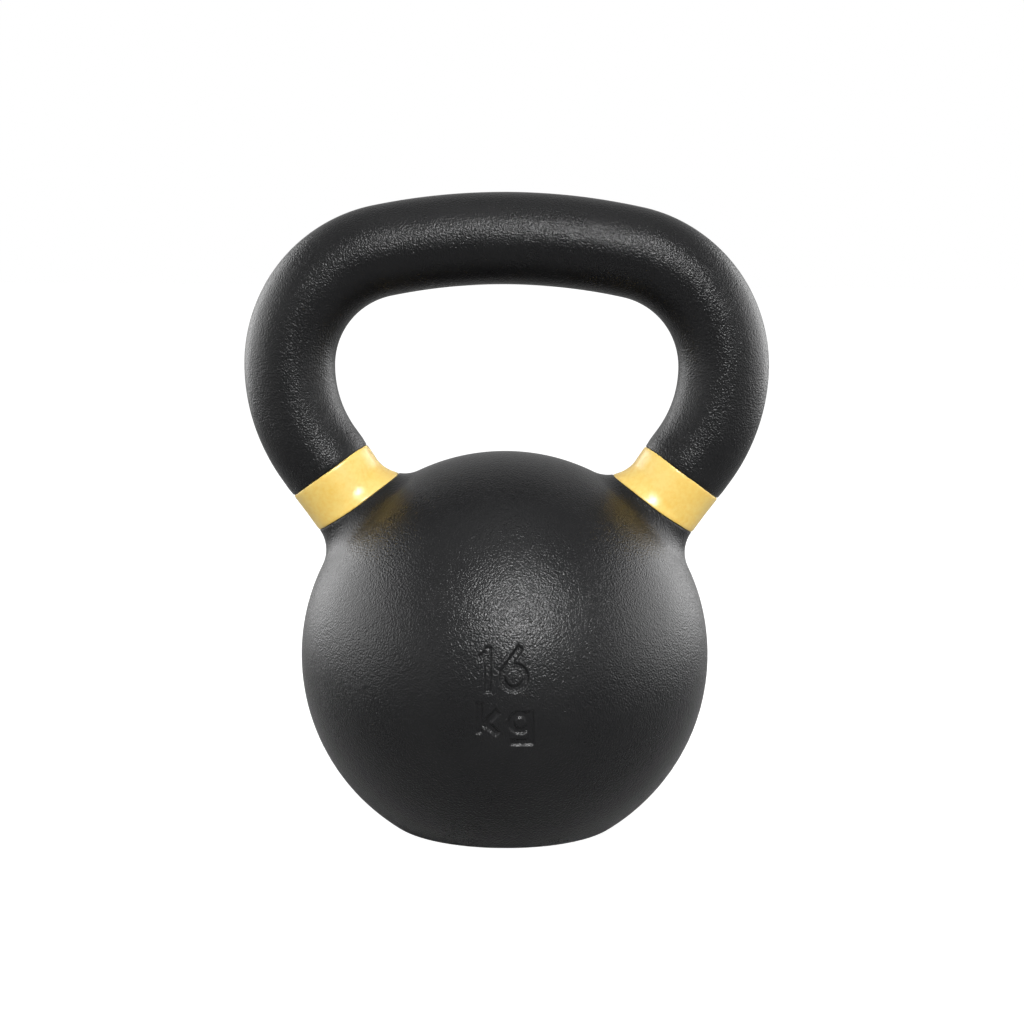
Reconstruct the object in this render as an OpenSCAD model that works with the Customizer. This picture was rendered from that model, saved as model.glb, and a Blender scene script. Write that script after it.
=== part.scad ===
// Cast-iron kettlebell: a round bell with a flat base, a loop handle whose two
// horns run into the bell, and a thin colour band round the root of each horn.
// Millimetres, +Z up. The origin is the centre of the flat base, +X runs along
// the grip, and the weight mark faces -Y.

/* [Bell] */
// Diameter of the bell
bell_d = 154.8; // [130:0.2:190]
// Diameter of the flat base
base_d = 80.4; // [60:0.2:100]
// Radius where the bell rolls under into the base
base_edge_r = 6; // [3:0.5:9]

/* [Handle] */
// Thickness of the round grip
grip_d = 34.4; // [26:0.2:42]
// Width of the loop over its outside
handle_w = 197.4; // [170:0.2:240]
// Clear height of the hand window, from the top of the bell to the grip
window_h = 62.8; // [50:0.2:80]
// Radius of the grip's gentle crown, on its centreline
crown_r = 226; // [170:1:320]
// Radius of the loop's top corners, on the centreline
corner_r = 43.8; // [32:0.2:54]
// Radius of the horns' inward sweep, on the centreline
horn_r = 57.4; // [46:0.1:76]
// How much thinner each bend is than the one above it, from crown to corner to horn
bend_step = 0.2; // [0.1:0.05:0.4]

/* [Horn roots] */
// Thinnest diameter of a horn, at its waist under the colour band
waist_d = 33.2; // [25:0.1:40]
// Radius of the fillet that carries a horn into the bell
root_fillet_r = 15.4; // [8:0.2:20]

/* [Colour bands] */
// Width of a band along its horn
band_w = 16.5; // [8:0.5:20]
// Thickness of a band
band_t = 0.4; // [0.2:0.1:1]
// Open line left at each edge of a band
band_gap = 0.25; // [0.1:0.05:0.6]

/* [Weight mark] */
// Height of the two figures
figure_h = 16; // [10:0.5:24]
// Width of the round bowl of a figure
figure_w = 10.6; // [7:0.2:16]
// Width of the round bowl of a unit letter
letter_w = 8.8; // [6:0.2:13]
// Height of a tall unit letter
letter_h = 11.6; // [8:0.2:18]
// Width of the strokes that the mark is cut with
stroke_w = 2.6; // [1:0.1:3.6]
// Clear height between the figures and the unit
mark_gap = 3.5; // [1:0.5:6]
// Clear width between two characters
letter_gap = 2.4; // [1:0.1:5]
// Depth of the mark below the bell's surface
mark_depth = 0.8; // [0.4:0.1:1.5]
// How far the mark's middle lies below the bell's centre
mark_drop = 1; // [-10:0.5:15]

/* [Hidden] */
$fn = 128;
far = 300; // longer than the whole object
bite = 0.05; // how far a blend circle cuts past a surface, so that the two cross cleanly
lap = 0.5; // how far a bend of the handle reaches inside the bend above it

bell_r = bell_d / 2;

// The arc that rolls the bell under: its centre, and a point well outside its corner.
edge_c = [base_d / 2, -sqrt(pow(bell_r - base_edge_r + bite, 2) - pow(base_d / 2, 2))];
edge_out = edge_c * far / norm(edge_c);
base_drop = base_edge_r - bite - edge_c[1]; // from the bell's centre down to the base

corner_tube_r = (grip_d - bend_step) / 2;
horn_tube_r = grip_d / 2 - bend_step;
waist_r = waist_d / 2;

// The loop's centreline, seen from the front as [across, up] from the bell's centre.
// Crown, corner and horn are arcs that meet square on, and the horn's arc ends on a
// straight line through the bell's centre, so its root stands square on the bell.
grip_rise = bell_r + window_h + grip_d / 2;
half_w = handle_w / 2 - corner_tube_r;
crown_c = [0, grip_rise - crown_r];
corner_x = half_w - corner_r;
corner_c = [corner_x, crown_c[1] + sqrt(pow(crown_r - corner_r, 2) - pow(corner_x, 2))];
horn_c = [half_w - horn_r, corner_c[1]];
crown_half = asin(corner_x / (crown_r - corner_r)); // half the crown's sweep
root_angle = atan2(horn_c[1], horn_c[0]) - asin(horn_r / norm(horn_c)); // above level
root_end = sqrt(pow(norm(horn_c), 2) - pow(horn_r, 2)); // from the bell's centre

// A horn's root as [distance from its axis, distance from the bell's centre]: a fillet
// off the bell up to the waist, then a slight flare out to the horn.
fillet_x = waist_r + root_fillet_r;
fillet_c = [fillet_x, sqrt(pow(bell_r + root_fillet_r - bite, 2) - pow(fillet_x, 2))];
waist_up = fillet_c[1];
band_low = root_end - band_w; // the band's seat runs from here up to the handle

// The weight mark's own layout, as widths and heights on a flat sheet.
figures_w = 1.6 * stroke_w + letter_gap + figure_w;
unit_w = 2 * letter_w + letter_gap;
tail_h = 0.36 * letter_h; // how far the g hangs below its line
mark_h = figure_h + mark_gap + letter_h + tail_h;

// The bell's outline, turned about Z to make the bell.
module bell_outline() {
    difference() {
        intersection() {
            circle(bell_r);
            polygon([[0, -base_drop], [far, -base_drop], [far, far], [0, far]]);
        }
        difference() {
            polygon([edge_c, edge_out, [edge_out[0], -far], [edge_c[0], -far]]);
            translate(edge_c) circle(base_edge_r);
        }
    }
}

// Places a horn root's own frame: its axis leaves the bell's centre on side -1 or 1.
module on_root(side) {
    translate([0, 0, base_drop]) rotate([0, side * (90 - root_angle), 0]) children();
}

// The root's outline from inside the bell up to the handle, drawn in by inset.
module root_outline(inset) {
    difference() {
        polygon([[0, waist_up / 2], fillet_c / 2, fillet_c, [0, waist_up]]);
        translate(fillet_c) circle(root_fillet_r + inset);
    }
    polygon([[0, waist_up], [waist_r - inset, waist_up],
             [horn_tube_r - inset, root_end], [0, root_end]]);
}

// All that lies between two heights along a root.
module between(low, high) {
    polygon([[0, low], [far, low], [far, high], [0, high]]);
}

// A root of the bell's own iron, with the band's seat turned down into it.
module horn_root() {
    rotate_extrude() {
        intersection() {
            root_outline(0);
            between(0, band_low);
        }
        intersection() {
            root_outline(band_t);
            between(band_low, root_end);
        }
    }
}

module colour_band(side) {
    color("gold") on_root(side) rotate_extrude() intersection() {
        difference() {
            root_outline(0);
            root_outline(band_t);
        }
        polygon([[waist_r / 2, band_low + band_gap], [far, band_low + band_gap],
                 [far, root_end - band_gap], [waist_r / 2, root_end - band_gap]]);
    }
}

// A straight stroke with square ends, from a to b.
module bar(a, b) {
    translate(a) rotate(atan2(b[1] - a[1], b[0] - a[0]))
        translate([0, -stroke_w / 2]) square([norm(b - a), stroke_w]);
}

// A round bowl of outer width w that stands on the line.
module bowl(w) {
    translate([w / 2, w / 2]) difference() {
        circle(w / 2);
        circle(w / 2 - stroke_w);
    }
}

module figure_one() {
    bar([1.1 * stroke_w, 0], [1.1 * stroke_w, figure_h]);
    bar([0, 0.74 * figure_h], [1.1 * stroke_w, 0.9 * figure_h]);
}

module figure_six() {
    bowl(figure_w);
    bar([0.1 * figure_w, 0.62 * figure_w], [0.72 * figure_w, figure_h]);
}

module letter_k() {
    bar([stroke_w / 2, 0], [stroke_w / 2, letter_h]);
    bar([0.8 * stroke_w, 0.3 * letter_w], [0.9 * letter_w, letter_w]);
    bar([0.35 * letter_w, 0.5 * letter_w], [0.9 * letter_w, 0]);
}

module letter_g() {
    bowl(letter_w);
    bar([letter_w - 0.3 * stroke_w, letter_w], [letter_w - 0.3 * stroke_w, -tail_h]);
    bar([0.1 * letter_w, stroke_w / 2 - tail_h], [letter_w, stroke_w / 2 - tail_h]);
}

// Cuts one character to an even depth below the front of the bell.
module character(x, z) {
    difference() {
        rotate([90, 0, 0]) linear_extrude(far) translate([x, z - mark_drop]) children();
        sphere(bell_r - mark_depth);
    }
}

module weight_mark() {
    top = mark_h / 2;
    character(-figures_w / 2, top - figure_h) figure_one();
    character(figures_w / 2 - figure_w, top - figure_h) figure_six();
    character(-unit_w / 2, tail_h - top) letter_k();
    character(unit_w / 2 - letter_w, tail_h - top) letter_g();
}

// The bell with both horn roots, up to where the bands end and the handle starts.
module bell() {
    color("dimgray") difference() {
        union() {
            translate([0, 0, base_drop]) rotate_extrude() bell_outline();
            for (side = [-1, 1]) on_root(side) horn_root();
        }
        translate([0, 0, base_drop]) weight_mark();
    }
}

// One bend of the handle: a tube of radius tube_r along the arc of radius r about c.
module bend(c, r, tube_r, from, to) {
    translate([c[0], 0, c[1] + base_drop]) rotate([90, 0, 0]) rotate([0, 0, from])
        rotate_extrude(angle = to - from) translate([r, 0]) circle(tube_r);
}

// The angle that a length takes up along an arc of radius r.
function sweep(length, r) = length / r * 180 / PI;

module handle() {
    color("dimgray") {
        bend(crown_c, crown_r, grip_d / 2, 90 - crown_half, 90 + crown_half);
        for (side = [0, 1]) mirror([side, 0, 0]) {
            bend(corner_c, corner_r, corner_tube_r, 0, 90 - crown_half + sweep(lap, corner_r));
            bend(horn_c, horn_r, horn_tube_r, root_angle - 90, sweep(lap, horn_r));
        }
    }
}

bell();
handle();
colour_band(-1);  // left_colour_band
colour_band(1);  // right_colour_band
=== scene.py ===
"""Cast-iron kettlebell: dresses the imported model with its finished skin, bands and studio."""
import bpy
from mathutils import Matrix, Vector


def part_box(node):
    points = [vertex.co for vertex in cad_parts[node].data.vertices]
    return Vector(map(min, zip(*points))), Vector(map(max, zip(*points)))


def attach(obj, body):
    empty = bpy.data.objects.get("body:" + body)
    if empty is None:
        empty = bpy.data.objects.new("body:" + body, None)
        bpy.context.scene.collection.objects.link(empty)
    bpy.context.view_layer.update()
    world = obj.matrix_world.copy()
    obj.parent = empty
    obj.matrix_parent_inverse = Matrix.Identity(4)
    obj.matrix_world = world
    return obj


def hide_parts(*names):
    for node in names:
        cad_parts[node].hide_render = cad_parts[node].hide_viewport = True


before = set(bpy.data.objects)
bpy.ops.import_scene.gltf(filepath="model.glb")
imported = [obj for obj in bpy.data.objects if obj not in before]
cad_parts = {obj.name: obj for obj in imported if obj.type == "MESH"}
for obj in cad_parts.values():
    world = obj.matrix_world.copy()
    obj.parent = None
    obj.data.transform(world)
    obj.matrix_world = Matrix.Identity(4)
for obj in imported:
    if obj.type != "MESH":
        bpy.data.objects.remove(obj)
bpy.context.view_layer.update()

from types import SimpleNamespace

import bpy
import numpy as np
from bpy.props import FloatProperty, FloatVectorProperty, PointerProperty
from mathutils import Matrix, Vector

bl_info = {
    "name": "Kettlebell",
    "version": (1, 0, 0),
    "blender": (4, 5, 0),
    "location": "View3D > Sidebar > Kettlebell",
    "description": "Builds a powder-coated kettlebell with its colour bands and a plain studio",
    "category": "Object",
}

MM = 0.001
SIDES = (("left", -1), ("right", 1))
# The step down into a band's seat: distances past its edge in millimetres, and the share of
# the seat's depth there.
SEAT_STEP = np.array([[0.06, 0.1], [0.14, 0.4], [0.2, 0.85], [0.24, 1], [0.4, 1]])
# The rings that close a hidden end, as shares of the way from its pole to its last ring.
CAP_RINGS = np.array([0.2, 0.6, 0.95])[:, None, None]


def node_size(name):
    """Width, depth and height of a node of the frame."""
    low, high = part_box(name)
    return high - low


def length(name, description, size):
    """A size that a user may change, given in metres."""
    return FloatProperty(name=name, description=description, default=size, precision=5,
                         unit="LENGTH")


def angle(name, description, degrees):
    """An angle that a user may change, given in degrees."""
    return FloatProperty(name=name, description=description, default=np.radians(degrees),
                         unit="ROTATION", subtype="ANGLE")


def colour(name, description, rgb):
    """A colour that a user may change."""
    return FloatVectorProperty(name=name, description=description, default=rgb, size=3,
                               min=0, max=1, subtype="COLOR")


class KettlebellSizes(bpy.types.PropertyGroup):
    """Sizes of the casting, its bands and its mark. The overall ones come from the frame."""
    bell_d: length("Bell", "Diameter of the bell", node_size("bell").y)
    base_d: length("Base", "Diameter of the flat base", 80.4 * MM)
    base_edge_r: length("Base edge", "Radius where the bell rolls under into the base", 6 * MM)
    handle_top: length("Height", "Height of the grip's top above the floor",
                       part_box("handle")[1].z)
    handle_w: length("Loop width", "Width of the loop over its outside", node_size("handle").x)
    grip_d: length("Grip", "Thickness of the round grip", node_size("handle").y)
    bend_step: length("Bend step", "How much thinner each bend is than the one above", 0.2 * MM)
    crown_r: length("Crown", "Radius of the grip's gentle crown, on its centreline", 226 * MM)
    corner_r: length("Corners", "Radius of the loop's top corners, on the centreline", 43.8 * MM)
    horn_r: length("Horns", "Radius of the horns' inward sweep, on the centreline", 57.4 * MM)
    root_lean: angle("Root lean", "How far above level a horn runs out of the bell", 54.5)
    waist_d: length("Waist", "Thinnest diameter of a horn, under its band", 33 * MM)
    root_fillet_r: length("Root fillet", "Radius that carries a horn into the bell", 13 * MM)
    unevenness: length("Unevenness", "Depth of the casting's slow hollows", 0.12 * MM)
    band_reach: length("Band reach", "From the end of a horn's bend down to its band", 7.6 * MM)
    band_w: length("Band width", "Width of a band along its horn", 16.5 * MM)
    band_t: length("Band thickness", "Thickness of a band in its seat", 0.4 * MM)
    band_gap: length("Band gap", "Open line at each edge of a band", 0.42 * MM)
    band_edge_r: length("Band edge", "Rounding of a band's edges", 0.35 * MM)
    band_lift: length("Band lift", "How much higher the front of a band's upper edge is", 0.9 * MM)
    figure_h: length("Figure height", "Height of the two figures", 16 * MM)
    figure_w: length("Figure width", "Width of the round bowl of a figure", 10.6 * MM)
    letter_w: length("Letter width", "Width of the round bowl of a unit letter", 8.8 * MM)
    letter_h: length("Letter height", "Height of a tall unit letter", 11.6 * MM)
    stroke_w: length("Stroke", "Width of the strokes that the mark is cut with", 2.6 * MM)
    mark_gap: length("Mark gap", "Clear height between the figures and the unit", 3.5 * MM)
    letter_gap: length("Letter gap", "Clear width between two characters", 2.4 * MM)
    mark_depth: length("Mark depth", "Depth of the mark below the bell's surface", 0.8 * MM)
    mark_drop: length("Mark drop", "How far the mark's middle is below the bell's centre", 1 * MM)
    mark_wall: length("Mark wall", "Width of the sloping wall round each stroke", 0.62 * MM)


class KettlebellColours(bpy.types.PropertyGroup):
    """Colours of the finishes and the studio."""
    coat: colour("Coat", "Black powder coat", (0.005, 0.0051, 0.0056))
    coat_pale: colour("Pale coat", "Powder coat where dust and wear lift it",
                      (0.011, 0.011, 0.0115))
    band: colour("Band", "Yellow of the bands", (0.765, 0.56, 0.16))
    band_deep: colour("Deep band", "Yellow where a band's colour lies thicker",
                      (0.735, 0.468, 0.087))
    floor: colour("Floor", "Pale studio floor", (0.3, 0.3, 0.3))
    backdrop: colour("Backdrop", "Pale light behind everything", (1.0, 1.0, 1.0))


class KettlebellView(bpy.types.PropertyGroup):
    """Where the camera stands, from the bell's centre."""
    distance: length("Distance", "How far the camera stands in front of the bell's centre", 0.802)
    rise: length("Rise", "How far the camera is above the bell's centre", 0.153)
    pitch: angle("Pitch", "How far the camera looks down", 7.01)
    yaw: angle("Yaw", "How far the camera looks to the right", 0.17)
    roll: angle("Roll", "How far the camera leans", 0.41)
    field: angle("Field of view", "Angle that the picture takes in", 27.04)


def work_out(s):
    """Works out the kettlebell's form from its sizes. A place is [across, up] from the bell's
    centre. Crown, corner and horn are arcs that meet square on, and a horn's arc ends where it
    leans as its root does. Distances along the loop start from there and go up the horn."""
    f = SimpleNamespace(bell_r=s.bell_d / 2, waist_r=s.waist_d / 2)
    f.edge_c = np.array([s.base_d / 2, -np.sqrt((f.bell_r - s.base_edge_r) ** 2
                                                - (s.base_d / 2) ** 2)])
    f.base_drop = s.base_edge_r - f.edge_c[1]
    f.centre = np.array([0, 0, f.base_drop])
    f.crown_tube_r = s.grip_d / 2
    f.corner_tube_r = (s.grip_d - s.bend_step) / 2
    f.horn_tube_r = s.grip_d / 2 - s.bend_step
    half_w = s.handle_w / 2 - f.corner_tube_r
    grip_rise = s.handle_top - s.grip_d / 2 - f.base_drop
    f.crown_c = np.array([0, grip_rise - s.crown_r])
    corner_x = half_w - s.corner_r
    f.corner_c = np.array([corner_x, f.crown_c[1]
                           + np.sqrt((s.crown_r - s.corner_r) ** 2 - corner_x ** 2)])
    f.horn_c = np.array([half_w - s.horn_r, f.corner_c[1]])
    f.crown_half = np.arcsin(corner_x / (s.crown_r - s.corner_r))
    f.horn_end = s.horn_r * (np.pi / 2 - s.root_lean)
    f.corner_end = f.horn_end + s.corner_r * (np.pi / 2 - f.crown_half)
    f.middle = f.corner_end + s.crown_r * f.crown_half
    # The root's axis runs along root_dir and passes root_off outside the bell's centre.
    f.root_dir = np.array([np.cos(s.root_lean), np.sin(s.root_lean)])
    f.root_out = np.array([np.sin(s.root_lean), -np.cos(s.root_lean)])
    bend_end = f.horn_c + s.horn_r * f.root_out
    f.root_off = bend_end @ f.root_out
    f.root_rise = bend_end @ f.root_dir
    f.band_high = -s.band_reach
    f.band_low = f.band_high - s.band_w
    f.seat_middle = f.band_high - s.band_w / 2
    return f


def graded(steps):
    """Numbers from the first place in steps to the last, spaced by the step given at each
    place: the count of steps so far is the running sum of 1 / step, and the numbers lie at its
    even shares."""
    places = list(steps)
    samples = 8001
    fine = np.linspace(places[0], places[-1], samples)
    rate = 1 / np.interp(fine, places, list(steps.values()))
    count = np.concatenate([[0], np.cumsum((rate[1:] + rate[:-1]) / 2 * np.diff(fine))])
    return np.interp(np.linspace(0, count[-1], int(round(count[-1])) + 1), count, fine)


def smooth(x):
    """Rises from 0 to 1 as x does, level at both ends: 3x squared less 2x cubed."""
    x = np.clip(x, 0, 1)
    return x * x * (3 - 2 * x)


def full_turn(steps):
    """Even angles round a full circle, which starts at 0 and doesn't repeat it."""
    return np.linspace(0, 2 * np.pi, steps + 1)[:-1]


def shares(steps):
    """Even shares of a way, after 0 and up to 1, one to a row."""
    return np.linspace(0, 1, steps + 1)[1:, None]


def hollows(points, depth):
    """How far a casting's slow hollows sink below its true surface, from 0 to depth: a few
    slanting sine waves, 17 to 49 mm long, added together."""
    # Radians a metre along X, Y and Z, and then each wave's height against the others.
    waves = np.array([[105, 40, 61], [-62, 118, 30], [35, -77, 140], [190, 130, -88],
                      [-150, 95, 210], [88, -230, -120], [300, 60, 190], [-110, 280, 160]])
    heights = np.array([1, 1, 1, 0.6, 0.6, 0.5, 0.3, 0.3])
    golden_angle = 2.4  # in radians, so that no two waves start in step
    phases = np.arange(len(waves)) * golden_angle
    wave = np.sin(points @ waves.T + phases) @ heights / heights.sum()
    return depth * (0.5 + 0.5 * wave)


def waver(turn, *waves):
    """A slow waver round a circle: sine waves, each with its height in millimetres, its count
    round the circle and its phase, added together."""
    return sum(height * MM * np.sin(count * turn + phase) for height, count, phase in waves)


def band_edges(s, f, turn):
    """The two edges of a band's seat as distances along the loop, at each angle of turn about
    it: even rings, of which the upper is tilted up in front, with a slow waver in both."""
    front = -np.sin(turn)
    low = f.band_low + waver(turn, (0.15, 2, 0.6), (0.07, 5, 0))
    high = f.band_high + s.band_lift * front + waver(turn, (0.18, 2, 0.9), (0.06, 5, 1))
    return low, high


def on_loop(s, f, side, along, turn, radius):
    """Points round the loop's centreline, at distance along it: radius away from it, and
    turned by turn from the loop's outside towards the back. The centreline is straight below
    0, and then an arc for the horn, the corner and the crown."""
    stretches = [along < 0, along < f.horn_end, along < f.corner_end]
    bend = np.select(stretches, [np.pi - s.root_lean + 0 * along,
                                 np.pi - s.root_lean - along / s.horn_r,
                                 np.pi / 2 - (along - f.horn_end) / s.corner_r],
                     f.crown_half - (along - f.corner_end) / s.crown_r)
    out_x, out_z = np.sin(bend), np.cos(bend)
    arc_r = np.select(stretches, [s.horn_r, s.horn_r, s.corner_r], s.crown_r)
    arc_x = np.select(stretches, [f.horn_c[0], f.horn_c[0], f.corner_c[0]], f.crown_c[0])
    arc_z = np.select(stretches, [f.horn_c[1], f.horn_c[1], f.corner_c[1]], f.crown_c[1])
    below = np.minimum(along, 0)
    reach = arc_r + radius * np.cos(turn)
    x = arc_x + reach * out_x + below * f.root_dir[0]
    z = arc_z + reach * out_z + below * f.root_dir[1]
    return np.stack(np.broadcast_arrays(side * x, radius * np.sin(turn), z), -1)


def loop_radius(s, f, along):
    """The loop's own radius at a distance along it, which swells slowly from waist to crown."""
    flare = 0.25 * MM  # how much a root has grown from its waist to its band's upper edge
    blend = 3 * MM  # how far above the band it takes on the horn's own radius
    ease = 0.05 * MM  # how much short of its full radius a corner starts
    return np.interp(
        along,
        [f.seat_middle, f.band_high, f.band_high + blend, f.horn_end, f.corner_end],
        [f.waist_r, f.waist_r + flare, f.horn_tube_r, f.corner_tube_r - ease, f.crown_tube_r])


def fillet(s, f, turn):
    """The ball that rolls in the corner between bell and horn, at each angle of turn about the
    root's axis: its centre's distance out from the bell's centre and along the axis, and the
    angle that it rolls between the bell and the horn. The ball's centre is one ball's radius
    off both, so its distances from the bell's centre and from the axis are known."""
    ball = s.root_fillet_r
    out = f.root_off + (f.waist_r + ball) * np.cos(turn)
    across = (f.waist_r + ball) * np.sin(turn)
    up = np.sqrt((f.bell_r + ball) ** 2 - out ** 2 - across ** 2)
    roll = np.arccos((f.root_off * np.cos(turn) + f.waist_r + ball) / (f.bell_r + ball))
    return out, across, up, roll


def on_fillet(s, f, side, climb, turn, sink=0.0):
    """Points on the fillet, or sink below it: climb is 0 at the bell and 1 at the horn. From
    the ball's centre, the direction turns evenly from the bell's to the horn's."""
    out, across, up, roll = fillet(s, f, turn)
    ball = s.root_fillet_r + sink
    to_bell = np.sin((1 - climb) * roll) / np.sin(roll) * ball / (f.bell_r + s.root_fillet_r)
    to_horn = np.sin(climb * roll) / np.sin(roll) * ball
    out_at = out * (1 - to_bell) - to_horn * np.cos(turn)
    across_at = across * (1 - to_bell) - to_horn * np.sin(turn)
    up_at = up * (1 - to_bell)
    x = out_at * f.root_out[0] + up_at * f.root_dir[0]
    z = out_at * f.root_out[1] + up_at * f.root_dir[1]
    return np.stack(np.broadcast_arrays(side * x, across_at, z), -1)


def climb_at(s, f, along, turn):
    """How far up the fillet a distance along the root's axis lies, 1 where it is above it."""
    _, _, up, roll = fillet(s, f, turn)
    drop = np.maximum(up - f.root_rise - along, 0)
    share = drop * (f.bell_r + s.root_fillet_r) / (s.root_fillet_r * up)
    return 1 - np.arcsin(np.minimum(np.sin(roll) * share, 1)) / roll


def on_root(s, f, side, along, turn, sink):
    """Points at sink below a root's own skin: on the fillet, or above it on the horn."""
    climb = climb_at(s, f, along, turn)
    horn = on_loop(s, f, side, along, turn, loop_radius(s, f, along) - sink)
    return np.where((climb < 1)[..., None], on_fillet(s, f, side, climb, turn, sink), horn)


def stroke(x, z, a, b, width):
    """Distance outside a straight stroke from a to b with square ends, negative inside."""
    step = np.subtract(b, a)
    size = np.hypot(*step)
    across = np.abs((z - a[1]) * step[0] - (x - a[0]) * step[1]) / size - width / 2
    down = np.abs((x - a[0]) * step[0] + (z - a[1]) * step[1] - size ** 2 / 2) / size - size / 2
    outside = np.hypot(np.maximum(across, 0), np.maximum(down, 0))
    return outside + np.minimum(np.maximum(across, down), 0)


def bowl(x, z, size, width):
    """Distance outside a ring of outer width size that stands on the line, negative inside."""
    return np.abs(np.hypot(x - size / 2, z - size / 2) - (size - width) / 2) - width / 2


def mark_distance(s, x, z):
    """Distance outside the weight mark's strokes: the figures 16 over the unit kg."""
    w, fh, fw, lw, lh = s.stroke_w, s.figure_h, s.figure_w, s.letter_w, s.letter_h
    tail = 0.36 * lh
    top = (fh + s.mark_gap + lh + tail) / 2
    figures_w = 1.6 * w + s.letter_gap + fw
    unit_w = 2 * lw + s.letter_gap
    one_x, six_x, figure_z = x + figures_w / 2, x - figures_w / 2 + fw, z - top + fh
    k_x, g_x, letter_z = x + unit_w / 2, x - unit_w / 2 + lw, z + top - tail
    return np.minimum.reduce([
        stroke(one_x, figure_z, (1.1 * w, 0), (1.1 * w, fh), w),
        stroke(one_x, figure_z, (0, 0.74 * fh), (1.1 * w, 0.9 * fh), w),
        bowl(six_x, figure_z, fw, w),
        stroke(six_x, figure_z, (0.1 * fw, 0.62 * fw), (0.72 * fw, fh), w),
        stroke(k_x, letter_z, (w / 2, 0), (w / 2, lh), w),
        stroke(k_x, letter_z, (0.8 * w, 0.3 * lw), (0.9 * lw, lw), w),
        stroke(k_x, letter_z, (0.35 * lw, 0.5 * lw), (0.9 * lw, 0), w),
        bowl(g_x, letter_z, lw, w),
        stroke(g_x, letter_z, (lw - 0.3 * w, lw), (lw - 0.3 * w, -tail), w),
        stroke(g_x, letter_z, (0.1 * lw, w / 2 - tail), (lw, w / 2 - tail), w),
    ])


def bell_distance(s, f, down):
    """Distance from the bell's centre to its skin, at an angle down from straight below: the
    flat base, then the arc that rolls under, then the round bell."""
    arc = np.hypot(*f.edge_c)
    arc_angle = np.arctan2(f.edge_c[0], -f.edge_c[1])
    off = arc * np.cos(down - arc_angle)
    rolled = off + np.sqrt(np.maximum(s.base_edge_r ** 2 - arc ** 2 + off ** 2, 0))
    flat = f.base_drop / np.maximum(np.cos(down), 0.2)  # 0.2 is well past the flat's edge
    flat_angle = np.arctan2(s.base_d / 2, f.base_drop)
    return np.select([down < flat_angle, down < arc_angle], [flat, rolled], f.bell_r)


def foot_grid(s, f, turn):
    """Ties the bell's grid to the horns' feet. Each foot is nearly a circle. The planes of the
    two circles meet in a level line, the hinge, and its polar line runs level through the
    bell. Gives the heights of both lines, and for each angle of turn about the polar line the
    foot's own angle about its root and its slope from the hinge."""
    half = 1024
    about = np.linspace(-np.pi, np.pi, 2 * half + 1)
    foot = on_fillet(s, f, 1, 0.0, about)
    inner, outer = (np.arctan2(foot[i, 2], foot[i, 0]) for i in (0, half))
    hinge = f.bell_r * np.cos((inner - outer) / 2) / np.sin((inner + outer) / 2)
    polar = f.bell_r ** 2 / hinge
    seen = np.arctan2(foot[:, 1], foot[:, 2] - polar)
    order = np.argsort(seen)
    about = np.interp(turn, seen[order], np.mod(about, 2 * np.pi)[order], period=2 * np.pi)
    foot = on_fillet(s, f, 1, 0.0, about)
    return hinge, polar, about, foot[:, 0] / (hinge - foot[:, 2])


def ball_grid(s, f):
    """A ball of the bell's radius as a grid between the two feet, and the angle about a root
    at which each of its columns meets a foot. Each ring lies in a surface of even slope from
    the hinge, and the rings' matching points lie in planes through the polar line."""
    # Degrees about the polar line: fine round the base's edge, and finest over the mark.
    turn = np.radians(graded({0: 2.7, 145: 2.7, 157: 0.55, 203: 0.55, 210: 1, 221: 0.8,
                              223: 0.175, 241: 0.175, 243: 0.8, 252: 2.7, 360: 2.7}))[:-1]
    hinge, polar, about, slope = foot_grid(s, f, turn)
    # Shares of the feet's own slope, finest over the mark and fine round the base's edge: the
    # two lie within slopes of 0.135 and 0.26 from the hinge.
    mark, rim = np.array([0.135, 0.26]) / slope.mean()
    lean = graded({-1: 0.022, -rim - 0.05: 0.022, -rim: 0.007, -mark - 0.02: 0.006,
                   -mark: 0.0028, mark: 0.0028, mark + 0.02: 0.006, rim: 0.007,
                   rim + 0.05: 0.022, 1: 0.022})
    # Where the ring's surface, the matching plane and the ball meet: a quadratic equation,
    # a * reach squared + 2 * b * reach + c = 0.
    slant, level = lean[:, None] * slope, np.cos(turn)
    a = 1 + (slant * level) ** 2
    b = level * (polar - slant ** 2 * (hinge - polar))
    c = (slant * (hinge - polar)) ** 2 + polar ** 2 - f.bell_r ** 2
    reach = (np.sqrt(b ** 2 - a * c) - b) / a
    x = slant * (hinge - polar - reach * level)
    return np.stack([x, reach * np.sin(turn), polar + reach * level], -1), about


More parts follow.
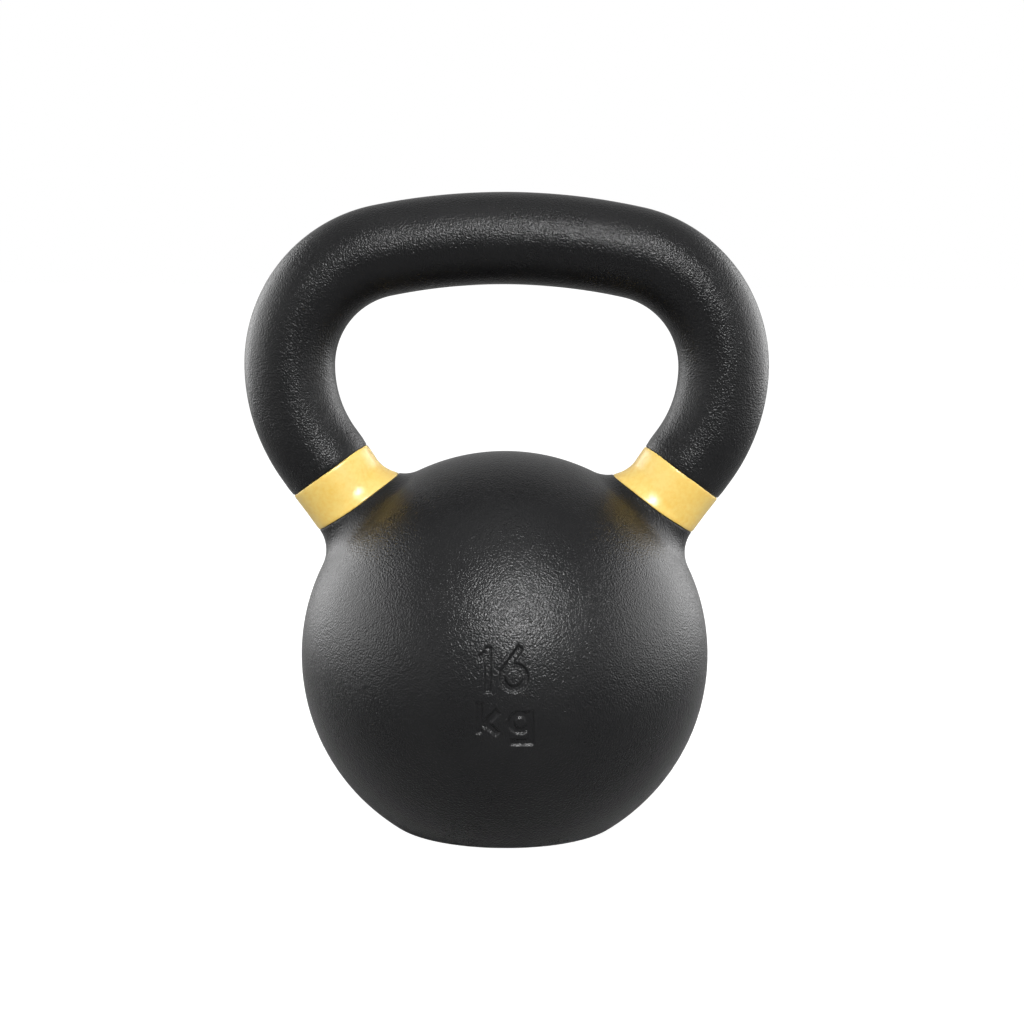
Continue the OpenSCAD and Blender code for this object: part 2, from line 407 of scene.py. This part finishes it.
def bell_points(s, f):
    """The bell's skin as one grid from the left root to the right one: a ball that is cut to
    the bell's outline and sunk by the mark and the hollows, and at each side rings that climb
    the fillet, step down into the band's seat and close."""
    body, about = ball_grid(s, f)
    down = np.arccos(np.clip(-body[..., 2] / f.bell_r, -1, 1))
    front = body[..., 1] < 0
    apart = mark_distance(s, body[..., 0], body[..., 2] + s.mark_drop)
    spill = 0.2 * s.mark_wall  # how far outside a stroke its wall starts
    sunk = s.mark_depth * smooth((spill - apart) / s.mark_wall) * front
    # The hollows fade in over 8 degrees, from just inside the flat's edge, so that the base
    # stays flat but for its rim.
    calm, fade = np.radians([28, 8])
    sunk = sunk + hollows(body, s.unevenness) * smooth((down - calm) / fade)
    body *= ((bell_distance(s, f, down) - sunk) / f.bell_r)[..., None]
    low, _ = band_edges(s, f, about)
    edge = climb_at(s, f, low, about)
    # Rows up the fillet, then close rows over the step into the seat, then rows under the band.
    climb = shares(15)
    step = np.array([*SEAT_STEP, (1.2, 1)])
    past, depth = step[:, :1] * MM, step[:, 1:] * s.band_t + 0 * low
    seat = low + past[-1] + shares(6) * (f.seat_middle - low - past[-1])
    ends = []
    for _, side in SIDES:
        ring = body[-1 if side > 0 else 0]
        dip = hollows(ring, s.unevenness) * (1 - climb)
        up = [on_fillet(s, f, side, climb * edge, about, dip),
              on_root(s, f, side, low + past, about, depth),
              on_root(s, f, side, seat, about, s.band_t)]
        pole = on_loop(s, f, side, np.array([f.seat_middle]), 0.0, 0.0)
        cap = pole + (up[-1][-1] - pole) * CAP_RINGS[::-1]
        ends.append((np.concatenate([*up, cap]), pole))
    (left, left_pole), (right, right_pole) = ends
    points = np.concatenate([left[::-1], body, right])
    return points + f.centre, np.concatenate([left_pole, right_pole]) + f.centre


def handle_points(s, f):
    """The handle's skin as a round tube carried along the loop, from under one band to under
    the other. Its ends sink into the bands' seats, each at its band's own upper edge."""
    turn = full_turn(128)
    _, high = band_edges(s, f, turn)
    # Rows under the band, then close rows over the step out of the seat, then the free loop.
    seat_end = high - 1 * MM
    seat = f.seat_middle + np.linspace(0, 0.75, 4)[:, None] * (seat_end - f.seat_middle)
    step = np.array([*SEAT_STEP[::-1] * (-1, 1), (0.1, 0), (0.5, 0)])
    past, depth = step[:, :1] * MM, step[:, 1:] * s.band_t + 0 * high
    free = high + past[-1] + shares(130) * (f.middle - high - past[-1])
    along = np.concatenate([seat, high + past, free])
    sink = np.concatenate([s.band_t + 0 * seat, depth, 0 * free])
    fade = 10 * MM  # the hollows fade in over this, above the band
    clear = smooth((along - f.band_high) / fade)
    halves = []
    for _, side in SIDES:
        points = on_loop(s, f, side, along, turn, loop_radius(s, f, along) - sink)
        dip = hollows(points, s.unevenness) * clear
        halves.append(on_loop(s, f, side, along, turn, loop_radius(s, f, along) - sink - dip))
    left, right = halves
    poles = np.concatenate([on_loop(s, f, side, np.array([f.seat_middle]), 0.0, 0.0)
                            for _, side in SIDES])
    caps = [pole + (half[0] - pole) * CAP_RINGS for pole, half in zip(poles, halves)]
    points = np.concatenate([caps[0], left, right[-2::-1], caps[1][::-1]])
    return points + f.centre, poles + f.centre


def band_points(s, f, side):
    """A band as a closed loop of profile carried round its root: outside, rounded upper edge,
    inside and rounded lower edge, between the two wavering edges of its seat. The outside is
    crowned: it rises smoothly from each edge to a level middle."""
    crown_h, crown_run = 0.14 * MM, 1.1 * MM
    play = 0.02 * MM  # between the inside and the seat's floor
    turn = full_turn(180)
    low, high = band_edges(s, f, turn)
    low, high = low + s.band_gap, high - s.band_gap
    quarter = np.linspace(0, np.pi / 2, 6)
    share = np.linspace(0, 1, 25)[1:-1]
    r = s.band_edge_r
    edge_in, edge_down = r * (1 - np.cos(quarter)), r * (1 - np.sin(quarter))
    zero, one = 0 * quarter, 1 + 0 * quarter
    none, full = 0 * share, 1 + 0 * share
    # Rows of [share of the width, distance past that place, sink, 1 outside and 0 inside].
    rows = np.concatenate([
        np.stack([zero, edge_in, edge_down, one], 1),
        np.stack([share, r * (1 - 2 * share), none, full], 1),
        np.stack([one, -edge_in[::-1], edge_down[::-1], one], 1),
        np.stack([1 - share, none, none + s.band_t - play, none], 1),
    ])
    along = low + rows[:, :1] * (high - low) + rows[:, 1:2]
    crown = crown_h * smooth(np.minimum(along - low, high - along) / crown_run)
    sink = rows[:, 2:3] - rows[:, 3:] * crown
    return on_root(s, f, side, along, turn, sink) + f.centre


def skin(name, points, poles=None):
    """Makes a smooth closed mesh from a grid of points. Each point joins its neighbours, the
    second direction closes on itself, and the first closes too, or ends in two poles. If the
    volume that the faces shut in is negative, all of them are turned round."""
    rows, columns = points.shape[:2]
    index = np.arange(rows * columns).reshape(rows, columns)
    beside = np.roll(index, -1, axis=1)
    ring = np.stack([index, beside, np.roll(beside, -1, axis=0), np.roll(index, -1, axis=0)], -1)
    if poles is not None:
        ring = ring[:-1]
    faces = ring.reshape(-1, 4)
    places = points.reshape(-1, 3)
    corners = places[faces]
    volume = np.einsum("ij,ij->", corners[:, 0], np.cross(corners[:, 1], corners[:, 2]))
    volume += np.einsum("ij,ij->", corners[:, 0], np.cross(corners[:, 2], corners[:, 3]))
    faces = faces.tolist()
    if poles is not None:
        places = np.concatenate([places, poles])
        first, last = rows * columns, rows * columns + 1
        faces += [(b, a, first) for a, b in zip(index[0].tolist(), beside[0].tolist())]
        faces += [(a, b, last) for a, b in zip(index[-1].tolist(), beside[-1].tolist())]
    if volume < 0:
        faces = [face[::-1] for face in faces]
    mesh = bpy.data.meshes.new(name)
    mesh.from_pydata(places.tolist(), [], faces)
    mesh.polygons.foreach_set("use_smooth", [True] * len(mesh.polygons))
    mesh.update()
    piece = bpy.data.objects.new(name, mesh)
    bpy.context.collection.objects.link(piece)
    return piece


class Wire:
    """A node's output. Arithmetic on it adds Math nodes to its graph."""

    def __init__(self, graph, socket):
        self.graph = graph
        self.socket = socket

    def maths(self, operation, first, second):
        return self.graph.node("ShaderNodeMath", {"operation": operation},
                               {0: first, 1: second})

    def __add__(self, other):
        return self.maths("ADD", self, other)

    def __radd__(self, other):
        return self.maths("ADD", other, self)

    def __mul__(self, other):
        return self.maths("MULTIPLY", self, other)

    def __rmul__(self, other):
        return self.maths("MULTIPLY", other, self)


class Graph:
    """A node tree that is built from Python expressions."""

    def __init__(self, tree):
        self.tree = tree
        tree.nodes.clear()

    def node(self, kind, settings=None, sockets=None, out=0):
        """Adds a node: its settings first, then the values or links of its sockets."""
        made = self.tree.nodes.new(kind)
        for name, value in (settings or {}).items():
            setattr(made, name, value)
        for name, value in (sockets or {}).items():
            if isinstance(value, Wire):
                self.tree.links.new(value.socket, made.inputs[name])
            else:
                made.inputs[name].default_value = value
        return Wire(self, made.outputs[out]) if made.outputs else made

    def noise(self, where, size, detail=2.0, roughness=0.5):
        """Noise from 0 to 1 whose patches are about size across."""
        return self.node("ShaderNodeTexNoise", {}, {"Vector": where, "Scale": 1 / size,
                                                    "Detail": detail, "Roughness": roughness})

    def ramp(self, value, low, high):
        """Rises smoothly from 0 to 1 as value goes from low to high."""
        return self.node("ShaderNodeMapRange", {"interpolation_type": "SMOOTHSTEP"},
                         {"Value": value, "From Min": low, "From Max": high})

    def mix(self, share, first, second):
        """Blends two colours."""
        return self.node("ShaderNodeMix", {"data_type": "RGBA"},
                         {0: share, 6: first, 7: second}, out=2)


def opaque(rgb):
    """A colour property as a node's four values."""
    return (*rgb, 1.0)


def powder_coat(g, colours):
    """Satin black powder coat: a pebbled orange-peel skin, with faint dust and rubbed patches."""
    where = g.node("ShaderNodeTexCoord", out="Object")
    pebble = g.noise(where, 0.66 * MM, 1.0)
    peel = g.noise(where, 2.4 * MM, 1.0)
    patches = g.noise(where, 24 * MM, 3.0)
    dust = g.ramp(g.noise(where, 1.1 * MM, 3.0, 0.7), 0.62, 0.8)
    pale = dust * 0.5 + g.ramp(patches, 0.4, 0.75) * 0.35
    tint = g.mix(pale, opaque(colours.coat), opaque(colours.coat_pale))
    rough = 0.21 + patches * 0.1 + pebble * 0.06
    relief = g.node("ShaderNodeBump", {}, {"Strength": 1.0, "Distance": 0.27 * MM,
                                           "Height": pebble + peel * 0.25})
    shader = g.node("ShaderNodeBsdfPrincipled", {}, {
        "Base Color": tint, "Roughness": rough, "Specular IOR Level": 0.32, "Normal": relief})
    g.node("ShaderNodeOutputMaterial", {}, {"Surface": shader})


def glossy_band(g, colours):
    """Glossy warm yellow with a thin clear gloss over it, faintly mottled and orange-peeled."""
    where = g.node("ShaderNodeTexCoord", out="Object")
    mottle = g.noise(where, 1.6 * MM, 3.0, 0.6)
    cloud = g.noise(where, 9 * MM)
    deep = g.ramp(mottle * 0.6 + cloud * 0.4, 0.35, 0.72)
    tint = g.mix(deep, opaque(colours.band), opaque(colours.band_deep))
    relief = g.node("ShaderNodeBump", {}, {"Strength": 0.5, "Distance": 0.03 * MM,
                                           "Height": g.noise(where, 2.2 * MM)})
    shader = g.node("ShaderNodeBsdfPrincipled", {}, {
        "Base Color": tint, "Roughness": 0.28 + mottle * 0.12, "Coat Weight": 0.3,
        "Coat Roughness": 0.24, "Normal": relief})
    g.node("ShaderNodeOutputMaterial", {}, {"Surface": shader})


FINISHES = {"black_powder_coat": ("pebbled_black_coat", powder_coat),
            "yellow_band": ("glossy_yellow", glossy_band)}


def finish_of(slot):
    """The material of a slot, which is made the first time that it is asked for."""
    name, lay = FINISHES[slot]
    material = bpy.data.materials.get(name)
    if material is None:
        material = bpy.data.materials.new(name)
        material.use_nodes = True
        lay(Graph(material.node_tree), bpy.context.scene.kettlebell_colours)
    return material


def place(piece, slot, *nodes):
    """Gives a finished piece its slot's material, its body and the nodes it stands for."""
    piece.data.materials.append(finish_of(slot))
    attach(piece, "root")
    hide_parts(*nodes)


class KETTLEBELL_OT_bell(bpy.types.Operator):
    """Casts the round bell with its flat base, its recessed mark and the roots of both horns"""
    bl_idname = "kettlebell.bell"
    bl_label = "Bell"

    def execute(self, context):
        sizes = context.scene.kettlebell_sizes
        piece = skin("bell_casting", *bell_points(sizes, work_out(sizes)))
        place(piece, "black_powder_coat", "bell")
        return {"FINISHED"}


class KETTLEBELL_OT_handle(bpy.types.Operator):
    """Casts the handle's round loop, from one horn over the grip to the other"""
    bl_idname = "kettlebell.handle"
    bl_label = "Handle"

    def execute(self, context):
        sizes = context.scene.kettlebell_sizes
        piece = skin("handle_loop", *handle_points(sizes, work_out(sizes)))
        place(piece, "black_powder_coat", "handle")
        return {"FINISHED"}


class KETTLEBELL_OT_bands(bpy.types.Operator):
    """Lays a colour band round the root of each horn"""
    bl_idname = "kettlebell.bands"
    bl_label = "Colour bands"

    def execute(self, context):
        sizes = context.scene.kettlebell_sizes
        form = work_out(sizes)
        for name, side in SIDES:
            piece = skin(name + "_band", band_points(sizes, form, side))
            place(piece, "yellow_band", name + "_colour_band")
        return {"FINISHED"}


def softbox(name, centre, at, size, power, aim=(0, 0, 0), spread=np.pi):
    """A rectangular soft light whose place and aim are measured from a centre. Its spread is
    the angle that its grid lets through."""
    light = bpy.data.lights.new(name, "AREA")
    light.shape = "RECTANGLE"
    light.size, light.size_y = size
    light.energy = power
    light.spread = spread
    holder = bpy.data.objects.new(name, light)
    bpy.context.collection.objects.link(holder)
    holder.location = centre + Vector(at)
    facing = centre + Vector(aim) - holder.location
    holder.rotation_euler = facing.to_track_quat("-Z", "Y").to_euler()


class KETTLEBELL_OT_stage(bpy.types.Operator):
    """Sets the pale floor, the soft lights and the camera"""
    bl_idname = "kettlebell.stage"
    bl_label = "Stage"

    def execute(self, context):
        scene = context.scene
        form = work_out(scene.kettlebell_sizes)
        self.lay_floor(scene.kettlebell_colours)
        self.light(scene, form)
        self.stand_camera(scene, form)
        scene.view_settings.view_transform = "Standard"
        return {"FINISHED"}

    def lay_floor(self, colours):
        """A wide flat floor just under the base, which glows to the camera alone."""
        reach = 12.0
        under = -0.05 * MM
        strength = 0.95
        mesh = bpy.data.meshes.new("floor")
        mesh.from_pydata([(-reach, -reach, under), (reach, -reach, under), (reach, reach, under),
                          (-reach, reach, under)], [], [(0, 1, 2, 3)])
        floor = bpy.data.objects.new("floor", mesh)
        bpy.context.collection.objects.link(floor)
        material = bpy.data.materials.new("studio_floor")
        material.use_nodes = True
        g = Graph(material.node_tree)
        seen = g.node("ShaderNodeLightPath", out="Is Camera Ray")
        lit = g.node("ShaderNodeBsdfDiffuse", {}, {"Color": opaque(colours.floor)})
        glow = g.node("ShaderNodeEmission", {}, {"Strength": seen * strength})
        both = g.node("ShaderNodeAddShader", {}, {0: lit, 1: glow})
        g.node("ShaderNodeOutputMaterial", {}, {"Surface": both})
        mesh.materials.append(material)

    def light(self, scene, form):
        """Large softboxes to the left and right, a weak fill in front of each, a gridded softbox
        over the camera and one overhead, in a pale room that is brighter to the camera."""
        centre = Vector(form.centre)
        for name, side in SIDES:
            softbox(name + "_softbox", centre, at=(side * 1.08, 0.4, 0.1), size=(1.7, 1.3),
                    power=22)
            softbox(name + "_fill", centre, at=(side * 0.95, -0.75, -0.05), size=(0.9, 0.9),
                    power=2.2)
        softbox("front_softbox", centre, at=(0.16, -1.02, 0.66), size=(0.42, 0.28), power=0.74,
                aim=(0, 0, -0.04), spread=np.radians(34))
        softbox("top_softbox", centre, at=(0, -0.3, 1.3), size=(0.9, 0.5), power=1.3)
        room = 0.48  # the room's strength as the kettlebell gets it, against 1 for the camera
        world = bpy.data.worlds.new("room")
        scene.world = world
        world.use_nodes = True
        g = Graph(world.node_tree)
        seen = g.node("ShaderNodeLightPath", out="Is Camera Ray")
        backdrop = opaque(scene.kettlebell_colours.backdrop)
        shader = g.node("ShaderNodeBackground", {}, {"Color": backdrop,
                                                     "Strength": room + seen * (1 - room)})
        g.node("ShaderNodeOutputWorld", {}, {"Surface": shader})

    def stand_camera(self, scene, form):
        """The camera in front of the bell, turned by its own pitch, yaw and roll."""
        view = scene.kettlebell_view
        data = bpy.data.cameras.new("camera")
        data.angle = view.field
        camera = bpy.data.objects.new("camera", data)
        scene.collection.objects.link(camera)
        turned = (Matrix.Rotation(-view.yaw, 4, "Z")
                  @ Matrix.Rotation(np.pi / 2 - view.pitch, 4, "X")
                  @ Matrix.Rotation(view.roll, 4, "Z"))
        stand = Matrix.Translation((0, -view.distance, form.base_drop + view.rise))
        camera.matrix_world = stand @ turned
        scene.camera = camera


OPERATORS = (KETTLEBELL_OT_bell, KETTLEBELL_OT_handle, KETTLEBELL_OT_bands, KETTLEBELL_OT_stage)


class KETTLEBELL_PT_panel(bpy.types.Panel):
    """Lists the kettlebell's pieces, sizes and colours"""
    bl_label = "Kettlebell"
    bl_space_type = "VIEW_3D"
    bl_region_type = "UI"
    bl_category = "Kettlebell"

    def draw(self, context):
        for operator in OPERATORS:
            self.layout.operator(operator.bl_idname)
        for group in GROUPS:
            settings = getattr(context.scene, group)
            for name in settings.__annotations__:
                self.layout.prop(settings, name)


GROUPS = {"kettlebell_sizes": KettlebellSizes, "kettlebell_colours": KettlebellColours,
          "kettlebell_view": KettlebellView}
CLASSES = (*GROUPS.values(), *OPERATORS, KETTLEBELL_PT_panel)


def register():
    for cls in CLASSES:
        bpy.utils.register_class(cls)
    for name, group in GROUPS.items():
        setattr(bpy.types.Scene, name, PointerProperty(type=group))


def unregister():
    for name in GROUPS:
        delattr(bpy.types.Scene, name)
    for cls in reversed(CLASSES):
        bpy.utils.unregister_class(cls)


def main():
    register()
    bpy.ops.kettlebell.bell()
    bpy.ops.kettlebell.handle()
    bpy.ops.kettlebell.bands()
    bpy.ops.kettlebell.stage()


if __name__ == "__main__":
    main()
